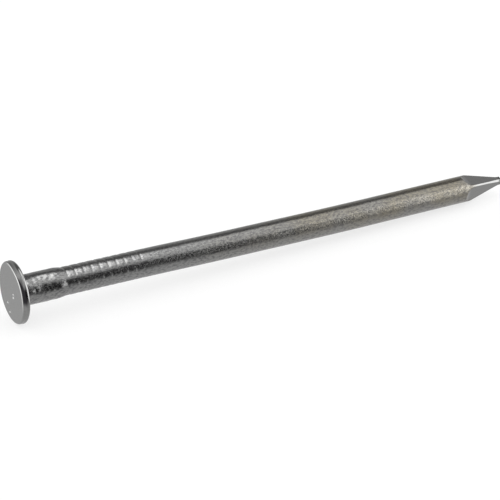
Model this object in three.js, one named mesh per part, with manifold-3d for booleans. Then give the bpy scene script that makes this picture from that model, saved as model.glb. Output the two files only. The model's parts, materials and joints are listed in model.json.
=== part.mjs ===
// A round wire nail with a flat head, in millimetres, lying along +X with +Z up.
//
// The nail is one length of drawn steel wire. The origin is the centre of the face that the hammer strikes,
// and the wire runs from there along +X to a four-sided diamond point. The head is upset from the wire's own
// end, and the dies that grip the wire leave a slightly swollen neck and two rows of teeth behind it.

import * as THREE from "three";
import { mergeVertices } from "three/addons/utils/BufferGeometryUtils.js";
import Module from "manifold-3d";

// Driving dimensions, in millimetres and degrees.
const NAIL_LENGTH = 75; // from the struck face to the point's blunt end
const SHANK_DIAMETER = 3.75;

const HEAD_DIAMETER = 8.4;
const HEAD_THICKNESS = 0.9;
const HEAD_EDGE_RADIUS = 0.25;
const HEAD_FILLET = 0.2; // between the underside of the head and the neck

const NECK_SWELL = 0.15; // how far the neck stands proud of the shank, on each side
const NECK_LENGTH = 5.1; // from the underside of the head
const NECK_TAPER = 1.2; // from the end of the neck down to the shank

const GRIP_GAP = 1.15; // from the end of the neck's taper to the middle of the first groove
const GRIP_PITCH = 1.165;
const GRIP_GROOVES = 9;
const GRIP_WIDTH = 0.75; // each groove's width at the shank's surface
const GRIP_DEPTH = 0.1;
const PARTING_WIDTH = 0.7; // the smooth strip between the two dies, on each side of the wire

const POINT_LENGTH = 5.25; // length of the four ridges
const POINT_BLUNTNESS = 1.0; // across the corners of the blunt end
const POINT_HOLLOW_RADIUS = 3.75; // the facets sweep out to the shank on this radius
const POINT_FACETS = 4;

const ROLL = 29; // turn about the wire's axis, from -Y upwards, of one ridge and one parting strip

// How finely round stretches are divided.
const ROUND_SEGMENTS = 40;
const ARC_SEGMENTS = 4;

const CUTTER_MARGIN = 0.5; // how far a cutting solid runs past the metal that it removes

const shankRadius = SHANK_DIAMETER / 2;
const headRadius = HEAD_DIAMETER / 2;
const neckRadius = shankRadius + NECK_SWELL;
const neckEnd = HEAD_THICKNESS + NECK_LENGTH;
const taperEnd = neckEnd + NECK_TAPER;

const wasm = await Module();
wasm.setup();

// A closed geometry as a solid. Corners that coincide are merged, and triangles that this empties are dropped.
function toSolid(geometry) {
  const bare = geometry.clone();
  bare.deleteAttribute("normal");
  bare.deleteAttribute("uv");
  const merged = mergeVertices(bare);
  const corners = merged.index.array;
  const triVerts = [];
  for (let i = 0; i < corners.length; i += 3) {
    const [a, b, c] = corners.slice(i, i + 3);
    if (a !== b && b !== c && c !== a) triVerts.push(a, b, c);
  }
  const vertProperties = merged.attributes.position.array;
  return new wasm.Manifold(new wasm.Mesh({ numProp: 3, vertProperties, triVerts: Uint32Array.from(triVerts) }));
}

// A solid as a geometry with a flat normal on each triangle.
function toGeometry(solid) {
  const mesh = solid.getMesh();
  const shared = new THREE.BufferGeometry();
  shared.setAttribute("position", new THREE.BufferAttribute(mesh.vertProperties, 3));
  shared.setIndex(new THREE.BufferAttribute(mesh.triVerts, 1));
  const geometry = shared.toNonIndexed();
  geometry.computeVertexNormals();
  return geometry;
}

// Points along an arc in the (radius, x) plane, from one angle to another, both in degrees.
function arc(centreRadius, centreX, radius, fromDegrees, toDegrees) {
  const path = new THREE.Path();
  const from = THREE.MathUtils.degToRad(fromDegrees);
  const to = THREE.MathUtils.degToRad(toDegrees);
  path.absarc(centreRadius, centreX, radius, from, to, toDegrees < fromDegrees);
  return path.getPoints(ARC_SEGMENTS);
}

// A profile of (radius, x) points turned about the X axis into a solid.
function turned(profile) {
  const geometry = new THREE.LatheGeometry(profile, ROUND_SEGMENTS);
  geometry.rotateZ(-Math.PI / 2);
  return toSolid(geometry);
}

// Head, neck and plain wire, cut square at the far end.
function headedWire() {
  const edge = HEAD_EDGE_RADIUS;
  const fillet = HEAD_FILLET;
  return turned([
    new THREE.Vector2(0, 0),
    ...arc(headRadius - edge, edge, edge, -90, 0),
    ...arc(headRadius - edge, HEAD_THICKNESS - edge, edge, 0, 90),
    ...arc(neckRadius + fillet, HEAD_THICKNESS + fillet, fillet, 270, 180),
    new THREE.Vector2(neckRadius, neckEnd),
    new THREE.Vector2(shankRadius, taperEnd),
    new THREE.Vector2(shankRadius, NAIL_LENGTH),
    new THREE.Vector2(0, NAIL_LENGTH),
  ]);
}

// A V-shaped ring about the wire at x. It rises half its depth above the surface, on the same slopes.
function grooveRing(x) {
  const bottom = new THREE.Vector2(shankRadius - GRIP_DEPTH, x);
  const outside = shankRadius + 0.5 * GRIP_DEPTH;
  const halfWidth = 1.5 * (GRIP_WIDTH / 2);
  return turned([
    bottom,
    new THREE.Vector2(outside, x - halfWidth),
    new THREE.Vector2(outside, x + halfWidth),
    bottom,
  ]);
}

// The slab of metal between the two dies, which no groove reaches.
function partingSlab() {
  const across = 2 * (neckRadius + CUTTER_MARGIN);
  const slab = new THREE.BoxGeometry(2 * NAIL_LENGTH, across, PARTING_WIDTH);
  slab.rotateX(-THREE.MathUtils.degToRad(ROLL));
  return toSolid(slab);
}

// All the grooves, each one parted by the slab into one arc per die.
function gripCutter() {
  const firstGroove = taperEnd + GRIP_GAP;
  const slab = partingSlab();
  const rings = Array.from({ length: GRIP_GROOVES }, (_, i) => grooveRing(firstGroove + i * GRIP_PITCH));
  return rings.map((ring) => ring.subtract(slab)).reduce((all, ring) => all.add(ring));
}

// Outline of the metal that one facet removes, as (x, distance from the axis): a straight stretch as long as
// the ridges, then an arc that sweeps out past the shank's surface.
function facetOutline() {
  const ridgeStart = NAIL_LENGTH - POINT_LENGTH;
  const startDistance = shankRadius * Math.SQRT1_2;
  const endDistance = (POINT_BLUNTNESS / 2) * Math.SQRT1_2;
  const slope = Math.atan2(startDistance - endDistance, POINT_LENGTH);
  const outside = shankRadius + CUTTER_MARGIN;

  const centreX = ridgeStart + POINT_HOLLOW_RADIUS * Math.sin(slope);
  const centreDistance = startDistance + POINT_HOLLOW_RADIUS * Math.cos(slope);
  const arcFrom = 1.5 * Math.PI - slope;
  const arcTo = Math.PI + Math.asin((centreDistance - outside) / POINT_HOLLOW_RADIUS);

  const outline = new THREE.Shape();
  outline.moveTo(NAIL_LENGTH + CUTTER_MARGIN, endDistance - CUTTER_MARGIN * Math.tan(slope));
  outline.lineTo(NAIL_LENGTH + CUTTER_MARGIN, outside);
  outline.absarc(centreX, centreDistance, POINT_HOLLOW_RADIUS, arcTo, arcFrom, false);
  return outline;
}

// The solid that one facet removes, facing outwards along the direction that is `degrees` up from -Y.
function facetCutter(degrees) {
  const width = 2 * (shankRadius + CUTTER_MARGIN);
  const cutter = new THREE.ExtrudeGeometry(facetOutline(), {
    depth: width,
    bevelEnabled: false,
    curveSegments: ARC_SEGMENTS,
  });
  cutter.translate(0, 0, -width / 2);
  cutter.rotateX(Math.PI - THREE.MathUtils.degToRad(degrees));
  return toSolid(cutter);
}

// The four facets of the point, halfway between its ridges.
function pointCutter() {
  const turn = 360 / POINT_FACETS;
  const cutters = Array.from({ length: POINT_FACETS }, (_, i) => facetCutter(ROLL + (i + 0.5) * turn));
  return cutters.reduce((all, cutter) => all.add(cutter));
}

function makeNail() {
  const solid = headedWire().subtract(gripCutter()).subtract(pointCutter());
  const brightSteel = new THREE.MeshStandardMaterial({ color: 0x9c9a97, roughness: 0.35, metalness: 1.0 });
  const nail = new THREE.Mesh(toGeometry(solid), brightSteel);
  nail.name = "nail";
  return nail;
}

const part = new THREE.Group();
part.add(makeNail());

export default part;
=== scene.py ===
"""Looks of a bright round wire nail: its fine surface, its steel, a pale floor, the light and the camera."""

import json
import logging
import math
from dataclasses import dataclass, field
from enum import Enum

import bpy
import numpy as np
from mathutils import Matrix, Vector


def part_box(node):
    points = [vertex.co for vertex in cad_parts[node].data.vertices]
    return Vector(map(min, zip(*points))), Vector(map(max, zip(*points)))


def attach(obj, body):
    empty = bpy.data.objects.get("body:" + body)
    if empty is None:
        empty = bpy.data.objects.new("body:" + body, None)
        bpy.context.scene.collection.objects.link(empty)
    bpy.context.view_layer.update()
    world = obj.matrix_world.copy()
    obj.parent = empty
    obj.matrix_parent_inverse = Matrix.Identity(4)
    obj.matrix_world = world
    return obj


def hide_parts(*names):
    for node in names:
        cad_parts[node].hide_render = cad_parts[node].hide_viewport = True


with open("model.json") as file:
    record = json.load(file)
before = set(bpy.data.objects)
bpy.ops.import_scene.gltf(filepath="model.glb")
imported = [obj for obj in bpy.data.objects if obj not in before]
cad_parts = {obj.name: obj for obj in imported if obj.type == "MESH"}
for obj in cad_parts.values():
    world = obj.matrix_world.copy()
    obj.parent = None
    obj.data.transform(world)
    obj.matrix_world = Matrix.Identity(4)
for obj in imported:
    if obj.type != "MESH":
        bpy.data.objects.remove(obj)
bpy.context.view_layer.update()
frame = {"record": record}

LOG = logging.getLogger("nail")
MM = 0.001  # one millimetre in metres
BUMP_EDGE = (0.2, 0.95)  # cosines of the angle from a bump's middle: where it ends, where it is full


def linear(code: str, alpha: float = 1.0) -> tuple:
    """Turns an sRGB colour into the linear one that shaders use.

    Args:
        code: the colour as six hex digits, such as "9C9A97".
        alpha: the fourth number to return.

    Returns:
        Linear red, green, blue and alpha.
    """
    shares = np.array([int(code[i:i + 2], 16) / 255 for i in (0, 2, 4)])
    low, high = shares / 12.92, ((shares + 0.055) / 1.055) ** 2.4
    return (*np.where(shares <= 0.04045, low, high).tolist(), alpha)


def add_node(tree: bpy.types.NodeTree, kind: str, settings: dict = None,
             links: dict = None) -> bpy.types.Node:
    """Adds one node to a tree, with its settings and its links.

    Args:
        tree: the node tree that gets the node.
        kind: the node's type, such as "ShaderNodeMath".
        settings: values by name of property, or by name or number of input socket.
        links: output sockets by name or number of the input socket that each one feeds.

    Returns:
        The new node.
    """
    node = tree.nodes.new(kind)
    for key, value in (settings or {}).items():
        if isinstance(key, str) and hasattr(node, key):
            setattr(node, key, value)
        else:
            node.inputs[key].default_value = value
    for key, socket in (links or {}).items():
        tree.links.new(socket, node.inputs[key])
    return node


def fill_ramp(ramp: bpy.types.ColorRamp, stops: list) -> None:
    """Gives a colour ramp its stops.

    Args:
        ramp: the node's color_ramp.
        stops: (position, grey level or linear colour) pairs in rising order.
    """
    while len(ramp.elements) < len(stops):
        ramp.elements.new(0.5)
    for element, (position, level) in zip(ramp.elements, stops):
        element.position = position
        element.color = level if isinstance(level, tuple) else (level, level, level, 1.0)


def smooth_step(low: float, high: float, value: np.ndarray) -> np.ndarray:
    """Rises from 0 at low to 1 at high along 3t^2 - 2t^3, and stays level outside them."""
    share = np.clip((value - low) / (high - low), 0.0, 1.0)
    return share * share * (3.0 - 2.0 * share)


def soft_min(first: np.ndarray, second: np.ndarray, blend: float) -> np.ndarray:
    """Takes the smaller of two fields, with the corner between them rounded over about blend."""
    return -blend * np.logaddexp(-first / blend, -second / blend)


def bump(angle: np.ndarray, middle: float) -> np.ndarray:
    """A broad bump round a circle, 1 near middle (degrees) and 0 beyond about 78 degrees from it."""
    return smooth_step(*BUMP_EDGE, np.cos(angle - math.radians(middle)))


@dataclass(frozen=True)
class Ripple:
    """Random unevenness of a turned surface: many small waves added up, so that it joins up all round.

    height is its root mean square in millimetres, along and around are the typical lengths of one bump.
    """

    height: float
    along: float
    around: float
    seed: int
    waves: int = 60

    def over(self, x: np.ndarray, angle: np.ndarray, radius: float) -> np.ndarray:
        """Adds up cosines of x and of whole turns round the axis, with random lengths and phases.

        Args:
            x: places along the axis, in millimetres.
            angle: angles about the axis, in radians.
            radius: the radius that turns a length round the surface into an angle.

        Returns:
            Heights in millimetres, one per place.
        """
        draw = np.random.default_rng(self.seed)
        total = np.zeros(np.broadcast(x, angle).shape)
        for _ in range(self.waves):
            pace = draw.normal() * math.pi / self.along
            turns = round(draw.normal() * math.pi * radius / self.around)
            total += np.cos(pace * x + turns * angle + draw.uniform(0.0, 2.0 * math.pi))
        return self.height * total * math.sqrt(2.0 / self.waves)


class Zone(Enum):
    """Stretches of the nail's profile in order, each with the number of grid rows that its detail needs."""

    STRUCK_FACE = ("struck face", 40)
    FRONT_EDGE = ("front edge", 8)
    BEVEL = ("bevel", 8)
    REAR_EDGE = ("rear edge", 12)
    UNDERSIDE = ("underside", 8)
    FILLET = ("fillet", 6)
    GRIP = ("grip", 250)
    SHANK = ("shank", 136)
    POINT = ("point", 126)
    BLUNT_END = ("blunt end", 8)

    @property
    def rows(self) -> int:
        """The number of grid rows."""
        return self.value[1]


@dataclass
class NailBody:
    """The whole nail, one piece of wire. Lengths are in millimetres, places along X from the struck face.

    The surface is a grid: one way along the profile from the middle of the struck face to the middle of the
    blunt end, the other way round the wire. Angles round the wire run from -Y upwards, in degrees. roll is
    the angle of the ridge and of the parting strip that face the camera.
    """

    length: float
    head_radius: float
    head_thickness: float
    shank_radius: float = 1.875
    roll: float = 29.0

    rear_edge: float = 0.30  # rounding of the rim towards the underside
    front_edge: float = 0.20  # least rounding of the edge round the struck face
    front_growth: float = 0.5  # what it gains per millimetre of the slope's width
    bevel_narrow: float = 0.10  # the head's sloping edge, where it is narrowest and what it gains elsewhere
    bevel_gain: float = 0.68
    bevel_side: float = 38.0  # the angle where it is widest
    # nicks in the struck face: y, z and depth of each
    face_nicks: tuple = ((-0.53, 0.02, 0.08), (-0.50, -0.42, 0.08), (1.42, -1.88, 0.09), (0.80, -3.0, 0.10))
    nick_size: float = 0.12
    face_calm: float = 0.75  # share of the flat's radius beyond which its hollows fade out

    dark_reflection_start: tuple = (-8.0, 5.0)  # painted dark reflection on the sloping edge: the angles where it starts and is full
    dark_reflection_taper: tuple = (4.0, 78.0)  # the angles between which it narrows to nothing
    dark_reflection_front: tuple = (0.05, 0.11)  # depths behind the face
    dark_reflection_reach: float = 0.46
    dark_reflection_border: float = 0.08

    rim_inset: float = 0.045  # how far the uneven rim lies inside the full radius on average
    pressed_head: float = 0.35  # the head's working shares, and how smooth its edges are
    smooth_head: float = 0.75
    smooth_edge: float = 0.8

    fillet: float = 0.2
    neck_swell: float = 0.15
    strip_share: float = 0.75  # share of the swelling that is missing along the parting strips
    pock_fade: float = 2.0  # stretch behind the taper over which the dies' pocks weaken
    grip_pocks: float = 0.25  # share of their height that is left in the grip, and on the parting strips
    strip_pocks: float = 0.4
    strip_start: float = 3.0  # stretch behind the head over which it goes missing
    neck_end: float = 6.0
    taper_end: float = 7.2
    grip_end: float = 19.5
    press_fade: tuple = (16.5, 19.0)  # places between which the dies' pressure fades out
    groove_pitch: float = 1.165
    grooves: int = 10
    groove_width: float = 0.5
    groove_depth: float = 0.05
    groove_slant: float = 0.10  # how far its middle wanders along the wire
    groove_strength: tuple = (0.7, 1.2)  # least and greatest depth of one groove, as shares of groove_depth
    groove_fading: float = 0.45  # share by which the depth falls towards the last groove
    groove_seed: int = 21
    lower_die: float = 0.5  # depth of the lower die's grooves, as a share of the upper one's
    strip_edge: tuple = (0.14, 0.42)  # sines of the angle from the parting strip: grooves begin, are full

    ridge_length: float = 5.7
    ridge_flat: float = 0.22
    tip_flat: float = 0.34  # the ridges' width at the blunt end, where they are rubbed down most
    rubbed_length: float = 3.0  # stretch before the blunt end over which they grow to it
    ridge_ease: float = 0.04
    point_margin: float = 2.0  # stretch before the ridges in which they are already rounded into the wire
    taper_width: float = 0.84  # across the ridges, where their taper would end
    least_width: float = 1.12  # across the ridges of the blunt end
    hollow_radius: float = 2.4
    point_start: float = 66.0
    edge_blend: float = 0.008
    fade_depth: float = 0.30  # depth of cut at which the drawn surface's dents are gone

    dip: float = 0.10
    dip_place: tuple = (18.0, 30.0)
    lift: float = 0.27
    lift_place: tuple = (44.0, 74.0)

    end_round: float = 0.10  # how far the rounded border of the blunt end lies behind its middle
    end_rows: int = 6  # grid rows of the point that lead up to that border

    columns: int = 160
    bunching: float = 0.5  # share by which the grid's columns are drawn together at the ridges

    rim_wander: Ripple = field(default_factory=lambda: Ripple(0.014, 3.0, 4.5, seed=11))
    face_wander: Ripple = field(default_factory=lambda: Ripple(0.003, 2.6, 2.6, seed=12))
    neck_pocks: Ripple = field(default_factory=lambda: Ripple(0.010, 0.85, 0.8, seed=13))
    wire_dents: Ripple = field(default_factory=lambda: Ripple(0.0016, 0.8, 0.5, seed=14))
    wire_waves: Ripple = field(default_factory=lambda: Ripple(0.0030, 6.0, 1.2, seed=15))
    facet_lines: Ripple = field(default_factory=lambda: Ripple(0.0030, 1.3, 2.0, seed=16))

    @classmethod
    def from_frame(cls) -> "NailBody":
        """Takes the length, the head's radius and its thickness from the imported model.

        Returns:
            The nail with those sizes.
        """
        low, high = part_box("nail")
        seat = next(mount for mount in frame["record"]["mounts"] if mount["name"] == "head_seat")
        return cls(length=(high.x - low.x) / MM, head_radius=(high.z - low.z) / 2.0 / MM,
                   head_thickness=seat["pos_m"][0] / MM)

    def angles(self) -> np.ndarray:
        """Angles of the grid's columns in radians: even turns, less a sine that draws them to the ridges."""
        turn = np.arange(self.columns) * 2.0 * math.pi / self.columns
        return math.radians(self.roll) + turn - self.bunching / 4.0 * np.sin(4.0 * turn)

    def profile(self) -> tuple:
        """The plain profile of every column, zone by zone.

        The struck face ends in a sloping edge, which is wider on one side: bevel_narrow plus bevel_gain times
        a bump round the head. The edge is the tangent from its own front corner to the circle that rounds the
        rim at the back, and an arc rounds that front corner. The rest is straight lines and a quarter circle
        at the fillet.

        Returns:
            x and radius of each grid point, one row per step along the profile, without the two poles.
        """
        back, fillet, thick = self.rear_edge, self.fillet, self.head_thickness
        neck = self.shank_radius + self.neck_swell
        angle = self.angles()

        def steps(zone: Zone) -> np.ndarray:
            """Even shares of a zone, from just after its start to its end, as a column."""
            return (np.arange(1, zone.rows + 1) / zone.rows)[:, None]

        def between(start: float, end: float, zone: Zone) -> np.ndarray:
            """Even steps from start to end."""
            return start + (end - start) * steps(zone)

        width = self.bevel_narrow + self.bevel_gain * bump(angle, self.bevel_side)
        corner = self.head_radius - width
        middle_x, middle_r = thick - back, self.head_radius - back
        reach = np.hypot(middle_x, middle_r - corner)
        slope = np.arctan2(middle_r - corner, middle_x) + np.arcsin(back / reach)
        bend = math.pi / 2.0 - slope
        front = self.front_edge + self.front_growth * width
        trim = front * np.tan(bend / 2.0)
        flat = corner - trim
        edge = between(trim, np.sqrt(reach ** 2 - back ** 2), Zone.BEVEL)
        front_turn = bend * steps(Zone.FRONT_EDGE)
        rear_turn = between(bend, math.pi, Zone.REAR_EDGE)
        inner_turn = math.pi / 2.0 * steps(Zone.FILLET)
        seat = neck + fillet
        pieces = [
            (0.0, flat * steps(Zone.STRUCK_FACE)),
            (front - front * np.cos(front_turn), flat + front * np.sin(front_turn)),
            (edge * np.cos(slope), corner + edge * np.sin(slope)),
            (middle_x - back * np.cos(rear_turn), middle_r + back * np.sin(rear_turn)),
            (thick, between(middle_r, seat, Zone.UNDERSIDE)),
            (thick + fillet - fillet * np.cos(inner_turn), seat - fillet * np.sin(inner_turn)),
            (between(thick + fillet, self.grip_end, Zone.GRIP), neck),
            (between(self.grip_end, self.point_start, Zone.SHANK), neck),
            (between(self.point_start, self.length, Zone.POINT), neck),
            (self.length, neck * (1.0 - steps(Zone.BLUNT_END))),
        ]
        shaped = [[np.broadcast_to(part, (zone.rows, self.columns)) for part in pair]
                  for zone, pair in zip(Zone, pieces)]
        x, radius = (np.concatenate(parts) for parts in zip(*shaped))
        return x[:-1], radius[:-1]

    def rows_of(self, *zones: Zone) -> slice:
        """The grid rows from the first of these zones to the last, as a slice.

        Args:
            zones: the first zone and the last one.

        Returns:
            The slice of rows.
        """
        order = list(Zone)
        start = sum(zone.rows for zone in order[:order.index(zones[0])])
        stop = sum(zone.rows for zone in order[:order.index(zones[-1]) + 1])
        return slice(start, stop)

    def ridge_width(self, x: np.ndarray) -> np.ndarray:
        """Width of the flat that blunts each ridge: ridge_flat, growing smoothly to tip_flat at the end."""
        rubbed = smooth_step(self.length - self.rubbed_length, self.length, x)
        return self.ridge_flat + (self.tip_flat - self.ridge_flat) * rubbed

    def ridge_radius(self, x: np.ndarray) -> np.ndarray:
        """How far the blunted ridges lie from the axis.

        A straight slope takes them from the shank's surface to half of taper_width at the blunt end, but no
        lower than half of least_width, with a soft corner.

        Args:
            x: places along the axis.

        Returns:
            Distances in millimetres.
        """
        share = (x - self.length + self.ridge_length) / self.ridge_length
        straight = self.shank_radius + (self.taper_width / 2.0 - self.shank_radius) * share
        return -soft_min(-straight, np.array(-self.least_width / 2.0), self.ridge_ease)

    def facet_distance(self, x: np.ndarray) -> np.ndarray:
        """How far the flats of the point lie from the axis.

        Beside a ridge at radius r that is w wide, the flats lie at (r + w / 2) / sqrt(2). Before the ridges
        begin, they follow an arc that is tangent to that slope and leaves outwards through the shank.

        Args:
            x: places along the axis.

        Returns:
            Distances in millimetres.
        """
        ridge_start = self.length - self.ridge_length
        along = (self.ridge_radius(x) + self.ridge_width(x) / 2.0) * math.sqrt(0.5)
        start = (self.shank_radius + self.ridge_flat / 2.0) * math.sqrt(0.5)
        drop = (self.shank_radius - self.taper_width / 2.0) * math.sqrt(0.5)
        slope = math.atan2(drop, self.ridge_length)
        centre_x = ridge_start + self.hollow_radius * math.sin(slope)
        centre = start + self.hollow_radius * math.cos(slope)
        reach = np.clip(centre_x - x, 0.0, self.hollow_radius)
        arc = centre - np.sqrt(self.hollow_radius ** 2 - reach ** 2)
        return np.where(x > ridge_start, along, arc)

    def point_section(self, x: np.ndarray, angle: np.ndarray, radius: np.ndarray) -> tuple:
        """Cuts the round wire down to the four flats, and blunts the ridges between them.

        A flat at distance d from the axis has radius d / cos(a), where a is the angle from its middle. Each
        ridge is cut by a narrow flat in the same way. The smallest radius wins, with soft corners.

        Args:
            x: places along the axis.
            angle: angles about the axis, in radians.
            radius: the wire's own radius there.

        Returns:
            The cut radius, and 0 on the wire rising to 1 on the flats and ridges.
        """
        quarter = math.pi / 2.0
        from_ridge = np.mod(angle - math.radians(self.roll) + quarter / 2.0, quarter) - quarter / 2.0
        from_flat = quarter / 2.0 - np.abs(from_ridge)
        flats = self.facet_distance(x) / np.cos(from_flat)
        ridges = self.ridge_radius(x) / np.cos(from_ridge)
        near = x > self.length - self.ridge_length - self.point_margin
        eased = np.where(near, soft_min(radius, ridges, self.ridge_ease), radius)
        share = smooth_step(0.0, self.fade_depth, radius - np.minimum(flats, ridges))
        return soft_min(eased, flats, self.edge_blend), share

    def grip_marks(self, x: np.ndarray, angle: np.ndarray) -> np.ndarray:
        """Depth of the V-shaped grooves that the two dies press in, each die over its own half of the wire.

        A groove's depth falls evenly from its middle to its edges. Its middle wanders a little round the
        wire, the lower die's row is set off by a third of a pitch, and no groove crosses a parting strip.

        Args:
            x: places along the axis.
            angle: angles about the axis, in radians.

        Returns:
            Depths in millimetres.
        """
        turn = angle - math.radians(self.roll)
        side = np.sin(turn)
        die = smooth_step(*self.strip_edge, np.abs(side)) * np.where(side < 0.0, self.lower_die, 1.0)
        slant = self.groove_slant * (np.cos(turn) + 0.5 * np.sin(3.0 * turn))
        offset = np.where(side < 0.0, self.groove_pitch / 3.0, 0.0)
        place = (x - self.taper_end - slant - offset) / self.groove_pitch
        number = np.clip(np.round(place), 0, self.grooves - 1).astype(int)
        draw = np.random.default_rng(self.groove_seed)
        strength = draw.uniform(*self.groove_strength, self.grooves)[number]
        strength = strength * (1.0 - self.groove_fading * number / self.grooves)
        away = np.abs(place - number) * self.groove_pitch
        wedge = np.clip(1.0 - away / (self.groove_width / 2.0), 0.0, 1.0)
        return self.groove_depth * strength * die * wedge

    def work_wire(self, x: np.ndarray, angle: np.ndarray) -> tuple:
        """The wire's own surface: taper behind the neck, the dies' grooves and pocks, its waves and dents.

        Args:
            x: places along the axis.
            angle: angles about the axis, in radians.

        Returns:
            The radius, and 1 where the dies pressed the wire falling to 0 past the grip.
        """
        shank, seat = self.shank_radius, self.head_thickness + self.fillet
        side = np.abs(np.sin(angle - math.radians(self.roll)))
        strip = smooth_step(*self.strip_edge, side)
        neck = 1.0 - smooth_step(self.neck_end, self.taper_end, x)
        pressed = 1.0 - smooth_step(*self.press_fade, x)
        free = smooth_step(seat, seat + self.fillet, x)
        calm = smooth_step(self.neck_end, self.taper_end + self.pock_fade, x)
        rough = 1.0 - (1.0 - self.grip_pocks) * calm
        beaten = self.strip_pocks + (1.0 - self.strip_pocks) * strip
        pocks = rough * pressed * beaten * self.neck_pocks.over(x, angle, shank)
        waves = self.wire_dents.over(x, angle, shank) + self.wire_waves.over(x, angle, shank)
        beside = 1.0 - smooth_step(0.0, 1.0, side)
        thinned = self.strip_share * beside * smooth_step(seat, seat + self.strip_start, x)
        swell = self.neck_swell * neck * (1.0 - thinned)
        return shank + swell - self.grip_marks(x, angle) + free * (pocks + waves), pressed

    def dark_reflection(self, x: np.ndarray, angle: np.ndarray) -> np.ndarray:
        """Share of painted dark reflection on the head: a patch of the sloping edge, narrowing to a tip at
        its top.

        Its depth towards the rear is dark_reflection_reach, times a smooth fall to 0 between the
        dark_reflection_taper angles.

        Args:
            x: places along the axis.
            angle: angles about the axis, in radians.

        Returns:
            0 on plain steel rising to 1 where the dark reflection is painted in full.
        """
        degrees = np.mod(np.degrees(angle) + 180.0, 360.0) - 180.0
        reach = self.dark_reflection_reach * (1.0 - smooth_step(*self.dark_reflection_taper, degrees))
        behind = 1.0 - smooth_step(-self.dark_reflection_border, self.dark_reflection_border, x - reach)
        return smooth_step(*self.dark_reflection_start, degrees) * smooth_step(*self.dark_reflection_front, x) * behind

    def face_depth(self, radius: np.ndarray, angle: np.ndarray, edge: np.ndarray) -> np.ndarray:
        """How far the struck face lies behind its plane: hollows that fade at the edge, and round nicks.

        Args:
            radius: radii of the grid points.
            angle: angles about the axis, in radians.
            edge: radius where the flat ends.

        Returns:
            Depths in millimetres.
        """
        y, z = -radius * np.cos(angle), radius * np.sin(angle)
        depth = np.abs(self.face_wander.over(y, z, 1.0)) * (
            1.0 - smooth_step(self.face_calm, 1.0, radius / edge))
        for nick_y, nick_z, deep in self.face_nicks:
            away = np.hypot(y - nick_y, z - nick_z) / self.nick_size
            depth = depth + deep * np.exp(-0.5 * away ** 2)
        return depth

    def surface(self) -> tuple:
        """Works out the whole grid of points, and how each one was worked.

        Returns:
            x and radius of every grid point, and the shares by name: pressed by the dies, smooth and free of
            dents, and darkened by the painted dark reflection.
        """
        x, radius = self.profile()
        angle = np.broadcast_to(self.angles(), x.shape)
        pressed, smooth, dark_reflection_share = np.zeros(x.shape), np.zeros(x.shape), np.zeros(x.shape)

        wire = self.rows_of(Zone.GRIP, Zone.POINT)
        body, pressed[wire] = self.work_wire(x[wire], angle[wire])
        cut_radius, cut_share = self.point_section(x[wire], angle[wire], body)
        radius[wire] = cut_radius + cut_share * self.facet_lines.over(x[wire], angle[wire], self.shank_radius)
        smooth[wire] = cut_share

        rim = self.rows_of(Zone.BEVEL, Zone.REAR_EDGE)
        wander = self.rim_wander.over(2.0 * x[rim], angle[rim], self.head_radius) - self.rim_inset
        wander = np.minimum(wander, 0.0)
        radius[rim] += wander * smooth_step(0.0, self.head_thickness / 2.0, x[rim])

        face = self.rows_of(Zone.STRUCK_FACE, Zone.STRUCK_FACE)
        x[face] += self.face_depth(radius[face], angle[face], radius[face][-1])
        head = slice(0, wire.start)
        pressed[head], smooth[head] = self.pressed_head, self.smooth_head
        edge = self.rows_of(Zone.FRONT_EDGE, Zone.REAR_EDGE)
        smooth[edge] = self.smooth_edge
        # painted dark reflection on one side of the head's sloping edge
        dark_reflection_share[edge] = self.dark_reflection(x[edge], angle[edge])

        end = self.rows_of(Zone.BLUNT_END, Zone.BLUNT_END)
        count = Zone.BLUNT_END.rows
        shrink = (1.0 - np.arange(1, count) / count)[:, None]
        radius[end] = radius[wire][-1][None, :] * shrink
        x[end] = self.length - self.end_round * shrink ** 3
        x[wire][-self.end_rows:] -= self.end_round * np.linspace(0.0, 1.0, self.end_rows)[:, None] ** 2
        smooth[end] = 1.0
        return x, radius, {"pressed": pressed, "smooth": smooth, "dark_reflection_share": dark_reflection_share}

    def centre_height(self, x: np.ndarray) -> np.ndarray:
        """Height of the wire's centre: it dips behind the grip, then rises to the point, both smoothly."""
        return self.lift * smooth_step(*self.lift_place, x) - self.dip * smooth_step(*self.dip_place, x)

    def points(self, x: np.ndarray, radius: np.ndarray) -> np.ndarray:
        """Turns the grid's x and radius into points, with the wire's slight bow.

        Args:
            x: places along the axis, in millimetres.
            radius: radii, in millimetres.

        Returns:
            Points in metres, the first pole and the last one at the two ends of the list.
        """
        angle = self.angles()[None, :]
        height = self.centre_height(x)
        grid = np.stack([x, -radius * np.cos(angle), radius * np.sin(angle) + height], axis=-1)
        poles = [[place, 0.0, self.centre_height(np.array(place)).item()] for place in (0.0, self.length)]
        return np.concatenate([poles[:1], grid.reshape(-1, 3), poles[1:]]) * MM

    def faces(self, rows: int) -> list:
        """Joins the grid by four-sided faces and closes each pole with a fan, every face outwards.

        Args:
            rows: the number of grid rows.

        Returns:
            Lists of vertex numbers.
        """
        column = np.arange(self.columns)
        after = (column + 1) % self.columns
        start = 1 + np.arange(rows - 1)[:, None] * self.columns
        quads = np.stack([start + column, start + self.columns + column,
                          start + self.columns + after, start + after], axis=-1)
        last = 1 + (rows - 1) * self.columns
        first_fan = np.stack([np.zeros_like(column), 1 + column, 1 + after], axis=-1)
        last_fan = np.stack([last + column, np.full_like(column, last + self.columns), last + after], axis=-1)
        return quads.reshape(-1, 4).tolist() + first_fan.tolist() + last_fan.tolist()

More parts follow.
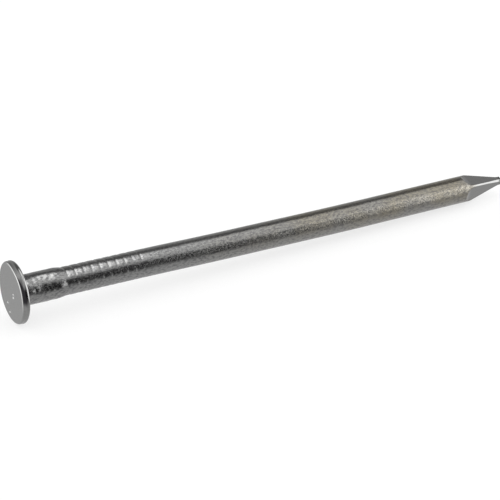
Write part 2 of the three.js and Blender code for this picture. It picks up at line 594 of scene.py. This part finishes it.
    def build(self, name: str) -> bpy.types.Object:
        """Makes the nail's mesh object, with its working shares as attributes.

        Args:
            name: the new object's name.

        Returns:
            The object, in metres, at the origin.
        """
        x, radius, shares = self.surface()
        mesh = bpy.data.meshes.new(name)
        mesh.from_pydata(self.points(x, radius).tolist(), [], self.faces(len(x)))
        mesh.shade_smooth()
        for label, share in shares.items():
            layer = mesh.attributes.new(label, "FLOAT", "POINT")
            values = np.concatenate([share[0, :1], share.ravel(), share[-1, :1]])
            layer.data.foreach_set("value", values.astype(np.float32))
        piece = bpy.data.objects.new(name, mesh)
        bpy.context.scene.collection.objects.link(piece)
        return piece

    def dress(self, piece: bpy.types.Object, steel: bpy.types.Material) -> None:
        """Gives the piece its steel, and ties it to the frame in place of the plain nail.

        Args:
            piece: the nail's mesh object.
            steel: its material.
        """
        piece.data.materials.append(steel)
        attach(piece, "root")
        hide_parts("nail")


@dataclass(frozen=True)
class BrightDrawnSteel:
    """Low-carbon steel wire, drawn bright, then tumbled with the other nails and left uncoated.

    Drawing leaves fine lines along the wire, which smear reflections round it. Tumbling adds small dents that
    mottle them and darker pits, and a trace of drawing soap tints the wire warm away from the head; a painted
    warm sheen holds that tint mostly to the upper side, where the highlights fall. A painted dark reflection
    darkens one side of the head's sloping edge. Sizes are in millimetres. The dents are
    taken to be 0.05 to 0.1 mm across, and are drawn two to four times as coarse so that they show.
    """

    neutral: str = "A3A3A2"
    warm: str = "A9A395"
    shade: str = "66666A"
    # colour of the painted dark reflection on the head's sloping edge
    dark_reflection_colour: str = "38383A"
    film_patch: float = 5.0
    film_start: float = 18.0
    film_full: float = 52.0
    sheen_low: float = -0.9  # heights between which it begins: a painted warm sheen, held mostly to the upper side where the highlights fall
    sheen_high: float = 0.3
    lower_tint_share: float = 0.45  # share of the tint that stays on the lower side
    film_noise: tuple = (0.38, 0.62)  # noise values between which the film thickens
    film_thin: float = 0.35  # share of it in its thinnest patches
    dent_size: float = 0.22
    pit_size: float = 0.20
    pit_length: float = 0.45
    line_width: float = 0.11
    line_length: float = 5.0
    dent_depth: float = 0.0085
    line_depth: float = 0.0016
    roughness_low: float = 0.13
    roughness_high: float = 0.24
    roughness_smooth: float = 0.13
    least_mottle: float = 0.85  # strength of the dents on the drawn wire, and what the dies add to it
    pressed_mottle: float = 0.35
    pit_share: float = 0.5  # how far the deepest pits go towards the shade
    pit_noise: tuple = (0.34, 0.56)  # noise values between which a pit fades out
    dent_noise: tuple = (0.35, 0.65)  # noise values between which the roughness rises

    def tint(self, tree: bpy.types.NodeTree, place: bpy.types.NodeSocket) -> bpy.types.NodeSocket:
        """The soap film's share: it grows along the wire, in soft patches, and is thinner on the lower side,
        a painted warm sheen kept mostly to the upper side where the highlights fall.

        Args:
            tree: the material's node tree.
            place: the socket that gives the place on the nail.

        Returns:
            The socket that gives the share.
        """
        parts = add_node(tree, "ShaderNodeSeparateXYZ", links={0: place})
        along = add_node(tree, "ShaderNodeMapRange", {"interpolation_type": "SMOOTHSTEP",
                                                      "From Min": self.film_start * MM,
                                                      "From Max": self.film_full * MM},
                         {"Value": parts.outputs["X"]})
        patch = add_node(tree, "ShaderNodeTexNoise", {"Scale": 1.0 / (self.film_patch * MM), "Detail": 3.0},
                         {"Vector": place})
        film = add_node(tree, "ShaderNodeMapRange", {"From Min": self.film_noise[0],
                                                     "From Max": self.film_noise[1],
                                                     "To Min": self.film_thin},
                        {"Value": patch.outputs["Fac"]})
        share = add_node(tree, "ShaderNodeMath", {"operation": "MULTIPLY"},
                         {0: along.outputs["Result"], 1: film.outputs["Result"]})
        # painted warm sheen: the tint is held mostly to the upper side, where the highlights fall
        upper = add_node(tree, "ShaderNodeMapRange", {"interpolation_type": "SMOOTHSTEP",
                                                      "From Min": self.sheen_low * MM,
                                                      "From Max": self.sheen_high * MM,
                                                      "To Min": self.lower_tint_share},
                         {"Value": parts.outputs["Z"]})
        kept = add_node(tree, "ShaderNodeMath", {"operation": "MULTIPLY"},
                        {0: share.outputs[0], 1: upper.outputs["Result"]})
        return kept.outputs[0]

    def build(self, name: str) -> bpy.types.Material:
        """Makes the material: tint, pits and roughness from noise, and bumps for dents and drawing lines.

        Args:
            name: the new material's name.

        Returns:
            The material.
        """
        steel = bpy.data.materials.new(name)
        steel.use_nodes = True
        tree = steel.node_tree
        tree.nodes.clear()
        place = add_node(tree, "ShaderNodeTexCoord").outputs["Object"]
        pressed = add_node(tree, "ShaderNodeAttribute", {"attribute_name": "pressed"}).outputs["Fac"]
        smooth = add_node(tree, "ShaderNodeAttribute", {"attribute_name": "smooth"}).outputs["Fac"]
        dents = add_node(tree, "ShaderNodeTexNoise", {"Scale": 1.0 / (self.dent_size * MM), "Detail": 2.0,
                                                      "Roughness": 0.6}, {"Vector": place})
        narrow, drawn = 1.0 / (self.pit_size * MM), 1.0 / (self.pit_length * MM)
        stretched = add_node(tree, "ShaderNodeMapping", {"Scale": (drawn, narrow, narrow)}, {"Vector": place})
        pits = add_node(tree, "ShaderNodeTexNoise", {"Scale": 1.0, "Detail": 2.0},
                        {"Vector": stretched.outputs["Vector"]})
        stretch = (1.0 / (self.line_length * MM), 1.0 / (self.line_width * MM), 1.0 / (self.line_width * MM))
        along = add_node(tree, "ShaderNodeMapping", {"Scale": stretch}, {"Vector": place})
        lines = add_node(tree, "ShaderNodeTexNoise", {"Scale": 1.0, "Detail": 2.0},
                         {"Vector": along.outputs["Vector"]})
        dull = add_node(tree, "ShaderNodeMath", {"operation": "SUBTRACT", 0: 1.0}, {1: smooth}).outputs[0]

        film = add_node(tree, "ShaderNodeMath", {"operation": "MULTIPLY"},
                        {0: self.tint(tree, place), 1: dull})
        colour = add_node(tree, "ShaderNodeMix", {"data_type": "RGBA", 6: linear(self.neutral),
                                                  7: linear(self.warm)}, {0: film.outputs[0]})
        speck = add_node(tree, "ShaderNodeMapRange", {"From Min": self.pit_noise[0],
                                                      "From Max": self.pit_noise[1],
                                                      "To Min": self.pit_share, "To Max": 0.0},
                         {"Value": pits.outputs["Fac"]})
        share = add_node(tree, "ShaderNodeMath", {"operation": "MULTIPLY"},
                         {0: speck.outputs["Result"], 1: dull})
        specked = add_node(tree, "ShaderNodeMix", {"data_type": "RGBA", 7: linear(self.shade)},
                           {0: share.outputs[0], 6: colour.outputs[2]})
        # painted dark reflection: a dark colour mixed in on one side of the head's sloping edge
        dark_reflection_share = add_node(tree, "ShaderNodeAttribute", {"attribute_name": "dark_reflection_share"}).outputs["Fac"]
        reflection_darkened = add_node(tree, "ShaderNodeMix", {"data_type": "RGBA", 7: linear(self.dark_reflection_colour)},
                           {0: dark_reflection_share, 6: specked.outputs[2]})
        grain = add_node(tree, "ShaderNodeMapRange", {"From Min": self.dent_noise[0],
                                                      "From Max": self.dent_noise[1],
                                                      "To Min": self.roughness_low,
                                                      "To Max": self.roughness_high},
                         {"Value": dents.outputs["Fac"]})
        rough = add_node(tree, "ShaderNodeMix", {"data_type": "FLOAT", 3: self.roughness_smooth},
                         {0: smooth, 2: grain.outputs["Result"]})

        mottle = add_node(tree, "ShaderNodeMath",
                          {"operation": "MULTIPLY_ADD", 1: self.pressed_mottle, 2: self.least_mottle},
                          {0: pressed})
        strength = add_node(tree, "ShaderNodeMath", {"operation": "MULTIPLY", "use_clamp": True},
                            {0: dull, 1: mottle.outputs[0]})
        dented = add_node(tree, "ShaderNodeBump", {"Distance": self.dent_depth * MM},
                          {"Height": dents.outputs["Fac"], "Strength": strength.outputs[0]})
        lined = add_node(tree, "ShaderNodeBump", {"Distance": self.line_depth * MM, "Strength": 1.0},
                         {"Height": lines.outputs["Fac"], "Normal": dented.outputs["Normal"]})
        shader = add_node(tree, "ShaderNodeBsdfPrincipled", {"Metallic": 1.0},
                          {"Base Color": reflection_darkened.outputs[2], "Roughness": rough.outputs[0],
                           "Normal": lined.outputs["Normal"]})
        add_node(tree, "ShaderNodeOutputMaterial", links={"Surface": shader.outputs["BSDF"]})
        return steel


@dataclass(frozen=True)
class OpalAcrylic:
    """White opal acrylic lit from below, the top of a light table: bright, with only a faint shadow."""

    colour: str = "9A9A9A"
    glow: float = 0.70  # radiance of the light that comes through it

    def build(self, name: str) -> bpy.types.Material:
        """Makes the acrylic's material.

        Args:
            name: the new material's name.

        Returns:
            The material.
        """
        sheet = bpy.data.materials.new(name)
        sheet.use_nodes = True
        tree = sheet.node_tree
        tree.nodes.clear()
        shader = add_node(tree, "ShaderNodeBsdfPrincipled",
                          {"Base Color": linear(self.colour), "Roughness": 0.9, "Specular IOR Level": 0.1,
                           "Emission Color": (1.0, 1.0, 1.0, 1.0), "Emission Strength": self.glow})
        add_node(tree, "ShaderNodeOutputMaterial", links={"Surface": shader.outputs["BSDF"]})
        return sheet


@dataclass
class Floor:
    """A flat sheet under the nail, leaning so that the head's rim and the start of the point both touch it.

    Lengths are in millimetres.
    """

    body: NailBody
    half_side: float = 2500.0
    heel_before: float = 1.4  # how far before the ridges the shank touches the floor
    heel_gap: float = 0.02

    def build(self, name: str) -> bpy.types.Object:
        """Makes the sheet: a plane through the rim's lowest point and the shank's, near the point.

        Args:
            name: the new object's name.

        Returns:
            The sheet.
        """
        body = self.body
        rim = np.array([body.head_thickness / 2.0, -body.head_radius])
        heel = np.array([body.length - body.ridge_length - self.heel_before,
                         -body.shank_radius - self.heel_gap])
        slope = (heel[1] - rim[1]) / (heel[0] - rim[0])
        side = np.array([-self.half_side, self.half_side])
        x, y = np.meshgrid(side, side, indexing="ij")
        points = np.stack([x, y, rim[1] + slope * (x - rim[0])], axis=-1).reshape(-1, 3) * MM
        mesh = bpy.data.meshes.new(name)
        mesh.from_pydata(points.tolist(), [], [[0, 2, 3, 1]])
        sheet = bpy.data.objects.new(name, mesh)
        bpy.context.scene.collection.objects.link(sheet)
        sheet.visible_glossy = False
        mesh.materials.append(OpalAcrylic().build("opal_acrylic"))
        return sheet


@dataclass(frozen=True)
class SoftBox:
    """A soft-edged round light, far away in the direction aim.

    inner and outer are the angles, in degrees from aim, where its edge begins and ends.
    """

    aim: tuple
    inner: float
    outer: float
    radiance: float


@dataclass(frozen=True)
class SoftPanel:
    """A soft-edged strip light, far away.

    around holds four angles about X from -Y upwards, in degrees: where the strip starts, is full, is full for
    the last time and ends. along holds the same for the direction's X component.
    """

    around: tuple
    along: tuple
    radiance: float


@dataclass
class Studio:
    """The light that the nail sees: bands of light and dark round its axis, strip lights and soft boxes.

    bands holds (angle about X from -Y upwards, in degrees; radiance) pairs.
    """

    bands: tuple = (
        (-180, 0.60), (-150, 0.66), (-120, 0.64), (-88, 0.62), (-69, 0.60), (-45, 0.56), (-26, 0.42),
        (-13, 0.12), (-1, 0.02), (27, 0.02), (37, 0.34), (48, 0.64), (64, 0.70), (84, 0.84),
        (103, 0.76), (113, 0.15),
        (136, 0.19), (150, 0.37), (163, 0.46), (180, 0.46),
    )
    panels: tuple = (
        SoftPanel((44, 74, 94, 112), (-0.2, 0.1, 0.342, 0.370), 1.4),
        SoftPanel((-34, 14, 35, 70), (0.463, 0.545, 0.555, 0.625), 2.5),
    )
    boxes: tuple = (
        SoftBox((0.93, -0.35, 0.12), 20.0, 32.0, 2.1),
        SoftBox((0.70, 0.49, 0.51), 6.0, 16.0, 0.20),
        SoftBox((-0.83, 0.50, -0.24), 7.0, 20.0, 1.3),
        SoftBox((-0.66, 0.74, -0.08), 8.0, 20.0, 1.2),
        SoftBox((-0.86, 0.39, 0.33), 5.0, 13.0, 0.7),
        SoftBox((0.90, 0.05, 0.42), 8.0, 20.0, 1.0),
    )
    room: float = 1.05

    def window(self, tree: bpy.types.NodeTree, value: bpy.types.NodeSocket, start: float,
               full: float) -> bpy.types.NodeSocket:
        """Rises smoothly from 0 at start to 1 at full, which may be below it.

        Args:
            tree: the world's node tree.
            value: the socket to follow.
            start: the value that gives 0.
            full: the value that gives 1.

        Returns:
            The socket that gives the share.
        """
        node = add_node(tree, "ShaderNodeMapRange", {"interpolation_type": "SMOOTHSTEP", "From Min": start,
                                                     "From Max": full}, {"Value": value})
        return node.outputs["Result"]

    def combine(self, tree: bpy.types.NodeTree, operation: str, sockets: list) -> bpy.types.NodeSocket:
        """Adds or multiplies several sockets together, one after the other.

        Args:
            tree: the world's node tree.
            operation: "ADD" or "MULTIPLY".
            sockets: the sockets to combine.

        Returns:
            The socket that gives the total.
        """
        total = sockets[0]
        for socket in sockets[1:]:
            step = add_node(tree, "ShaderNodeMath", {"operation": operation}, {0: total, 1: socket})
            total = step.outputs[0]
        return total

    def scaled(self, tree: bpy.types.NodeTree, socket: bpy.types.NodeSocket,
               factor: float) -> bpy.types.NodeSocket:
        """The socket's value times a number."""
        return add_node(tree, "ShaderNodeMath", {"operation": "MULTIPLY", 1: factor}, {0: socket}).outputs[0]

    def cover(self, tree: bpy.types.NodeTree, direction: bpy.types.NodeSocket,
              box: SoftBox) -> bpy.types.NodeSocket:
        """How much of one soft box is seen: 1 within its inner angle, 0 past its outer one.

        Args:
            tree: the world's node tree.
            direction: the socket that gives the direction looked in.
            box: the soft box.

        Returns:
            The socket that gives the share.
        """
        facing = add_node(tree, "ShaderNodeVectorMath",
                          {"operation": "DOT_PRODUCT", 1: Vector(box.aim).normalized()}, {0: direction})
        outer, inner = (math.cos(math.radians(angle)) for angle in (box.outer, box.inner))
        return self.window(tree, facing.outputs["Value"], outer, inner)

    def panel_level(self, tree: bpy.types.NodeTree, angle: bpy.types.NodeSocket, along: bpy.types.NodeSocket,
                    panel: SoftPanel) -> bpy.types.NodeSocket:
        """The radiance of one strip light.

        Args:
            tree: the world's node tree.
            angle: the socket that gives the angle about X.
            along: the socket that gives the direction's X component.
            panel: the strip light.

        Returns:
            The socket that gives the radiance.
        """
        start, full, last, end = (math.radians(degrees) for degrees in panel.around)
        shares = [self.window(tree, angle, start, full), self.window(tree, angle, end, last),
                  self.window(tree, along, *panel.along[:2]), self.window(tree, along, *panel.along[:1:-1])]
        return self.scaled(tree, self.combine(tree, "MULTIPLY", shares), panel.radiance)

    def build(self) -> bpy.types.World:
        """Makes the world: bands, strips and boxes for polished metal, an even light for all else.

        Returns:
            The world.
        """
        world = bpy.data.worlds.new("studio")
        world.use_nodes = True
        tree = world.node_tree
        tree.nodes.clear()
        direction = add_node(tree, "ShaderNodeTexCoord").outputs["Generated"]
        parts = add_node(tree, "ShaderNodeSeparateXYZ", links={0: direction})
        back = self.scaled(tree, parts.outputs["Y"], -1.0)
        turn = add_node(tree, "ShaderNodeMath", {"operation": "ARCTAN2"}, {0: parts.outputs["Z"], 1: back})
        angle = turn.outputs[0]
        share = add_node(tree, "ShaderNodeMapRange", {"From Min": -math.pi, "From Max": math.pi},
                         {"Value": angle})
        ramp = add_node(tree, "ShaderNodeValToRGB", links={"Fac": share.outputs["Result"]})
        fill_ramp(ramp.color_ramp, [((degrees + 180) / 360, level) for degrees, level in self.bands])
        lights = [ramp.outputs["Color"]]
        lights += [self.panel_level(tree, angle, parts.outputs["X"], panel) for panel in self.panels]
        lights += [self.scaled(tree, self.cover(tree, direction, box), box.radiance) for box in self.boxes]
        total = self.combine(tree, "ADD", lights)
        seen = add_node(tree, "ShaderNodeLightPath").outputs["Is Glossy Ray"]
        shown = add_node(tree, "ShaderNodeBackground", {"Strength": 1.0}, {"Color": total})
        even = add_node(tree, "ShaderNodeBackground", {"Color": (1.0, 1.0, 1.0, 1.0), "Strength": self.room})
        mixed = add_node(tree, "ShaderNodeMixShader",
                         links={0: seen, 1: even.outputs[0], 2: shown.outputs[0]})
        add_node(tree, "ShaderNodeOutputWorld", links={"Surface": mixed.outputs[0]})
        bpy.context.scene.world = world
        return world


@dataclass
class Viewpoint:
    """The camera: level, looking down at the nail from beside its head. Angles in degrees, lengths in metres.

    azimuth 0 looks along +Y and elevation is above the horizon. aim is the point that it looks at.
    """

    azimuth: float = -28.53
    elevation: float = 25.16
    distance: float = 0.2940
    lens: float = 157.76
    aim: tuple = (0.03422, -0.00069, -0.00133)

    def build(self) -> bpy.types.Object:
        """Makes the camera and gives it to the scene.

        Returns:
            The camera.
        """
        turn, rise = math.radians(self.azimuth), math.radians(self.elevation)
        back = Vector((math.sin(turn) * math.cos(rise), -math.cos(turn) * math.cos(rise), math.sin(rise)))
        data = bpy.data.cameras.new("camera")
        data.lens = self.lens
        data.sensor_width = 36.0
        data.clip_start, data.clip_end = 0.01, 20.0
        camera = bpy.data.objects.new("camera", data)
        camera.location = Vector(self.aim) + back * self.distance
        camera.rotation_mode = "QUATERNION"
        camera.rotation_quaternion = (-back).to_track_quat("-Z", "Y")
        bpy.context.scene.collection.objects.link(camera)
        bpy.context.scene.camera = camera
        return camera


def main() -> None:
    """Builds the camera, the light, the floor and the nail, and reports the floor and the nail."""
    logging.basicConfig(level=logging.INFO, format="%(name)s: %(message)s")
    bpy.context.scene.view_settings.view_transform = "Standard"
    Viewpoint().build()
    Studio().build()
    body = NailBody.from_frame()
    floor = Floor(body).build("floor")
    LOG.info("%s lies under the nail", floor.name)
    nail = body.build("nail_body")
    body.dress(nail, BrightDrawnSteel().build("bright_drawn_steel"))
    LOG.info("%s has %d faces", nail.name, len(nail.data.polygons))


if __name__ == "__main__":
    main()
